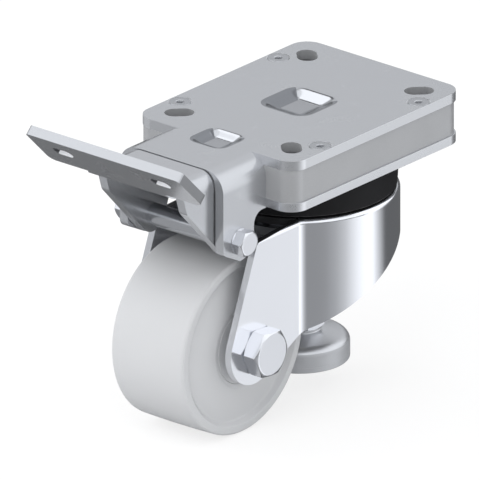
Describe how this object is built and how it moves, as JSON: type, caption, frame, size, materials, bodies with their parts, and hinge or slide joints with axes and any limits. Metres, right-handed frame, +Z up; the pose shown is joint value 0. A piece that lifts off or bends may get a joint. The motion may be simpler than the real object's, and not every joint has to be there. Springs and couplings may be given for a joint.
{
  "type": "levelling castor",
  "caption": "Swivel castor with a nylon wheel in a pressed fork, a slotted top plate, and a foot pedal that drives a levelling foot down through the hollow swivel pin.",
  "frame": {"origin": "centre of the top plate's mounting face, on the swivel axis", "axes": "+Z up out of the mounting face, X across along the wheel's axle, -Y forward to the pedal"},
  "size_m": [0.11, 0.2328, 0.1814],
  "materials": {
    "zinc_plate": "bright zinc plated sheet steel",
    "cast_zinc": "satin die cast zinc alloy",
    "black_plastic": "black moulded plastic",
    "white_nylon": "natural white cast nylon",
    "grey_plastic": "grey moulded pad",
    "plain_plastic": "plain bearing plastic",
    "zinc_fastener": "bright zinc plated fastener",
    "bearing_steel": "ground bearing steel",
    "bronze": "plain bearing bronze"
  },
  "bodies": {
    "housing": {"top_plate": "zinc_plate", "spacer_block": "cast_zinc", "bearing_plate": "zinc_plate", "plate_screw_1": "zinc_fastener", "plate_screw_2": "zinc_fastener", "plate_screw_3": "zinc_fastener", "plate_screw_4": "zinc_fastener", "dust_ring": "black_plastic", "upper_race": "bearing_steel", "upper_balls": "bearing_steel", "lower_balls": "bearing_steel", "retaining_ring": "bearing_steel", "hollow_kingpin": "bearing_steel", "guide_bush": "bronze", "return_spring": "bearing_steel", "pivot_bolt": "zinc_fastener", "pivot_nut": "zinc_fastener", "pivot_washer_near": "zinc_plate", "pivot_washer_far": "zinc_plate", "thrust_washer_near": "plain_plastic", "thrust_washer_far": "plain_plastic"},
    "pedal": {"pedal_lever": "zinc_plate", "pivot_tube": "bearing_steel", "drive_pin": "bearing_steel"},
    "drawbar": {"drawbar": "bearing_steel", "lifting_wedge": "bearing_steel", "wedge_screw_1": "zinc_fastener", "wedge_screw_2": "zinc_fastener"},
    "foot": {"plunger": "bearing_steel", "roller_pin": "bearing_steel", "spindle": "zinc_fastener", "lock_nut": "zinc_fastener", "foot_plate": "cast_zinc", "foot_pad": "grey_plastic"},
    "roller": {"thrust_roller": "bearing_steel"},
    "fork": {"fork": "zinc_plate", "axle_bolt": "zinc_fastener", "axle_nut": "zinc_fastener", "axle_washer": "zinc_plate", "axle_tube": "bearing_steel", "axle_spacer_near": "bearing_steel", "axle_spacer_far": "bearing_steel", "inner_race_near": "bearing_steel", "inner_race_far": "bearing_steel"},
    "wheel": {"wheel": "white_nylon", "outer_race_near": "bearing_steel", "outer_race_far": "bearing_steel", "bearing_balls_near": "bearing_steel", "bearing_balls_far": "bearing_steel", "bearing_seal_near": "white_nylon", "bearing_seal_far": "white_nylon"}
  },
  "joints": [
    {"name": "fork_swivel", "type": "hinge", "parent": "housing", "child": "fork", "pos_m": [0, 0, 0], "axis": [0, 0, 1], "continuous": true},
    {"name": "wheel_spin", "type": "hinge", "parent": "fork", "child": "wheel", "pos_m": [0, -0.0758, -0.109], "axis": [1, 0, 0], "continuous": true},
    {"name": "pedal_press", "type": "hinge", "parent": "housing", "child": "pedal", "pos_m": [0, -0.0913, -0.042], "axis": [1, 0, 0], "range_deg": [0, 50], "stiffness_Nm_per_rad": 4.12, "springref_deg": -18.16},
    {"name": "drawbar_slide", "type": "slide", "parent": "housing", "child": "drawbar", "axis": [0, -1, 0], "range_m": [0, 0.019]},
    {"name": "foot_drop", "type": "slide", "parent": "housing", "child": "foot", "axis": [0, 0, -1], "range_m": [0, 0.019], "deforming": ["return_spring"]},
    {"name": "roller_spin", "type": "hinge", "parent": "foot", "child": "roller", "pos_m": [0, 0, -0.02002], "axis": [1, 0, 0], "continuous": true}
  ],
  "couplings": [
    {"joint": "drawbar_slide", "follows": "pedal_press", "m_per_rad": 0.021772},
    {"joint": "foot_drop", "follows": "pedal_press", "m_per_rad": 0.021772}
  ]
}
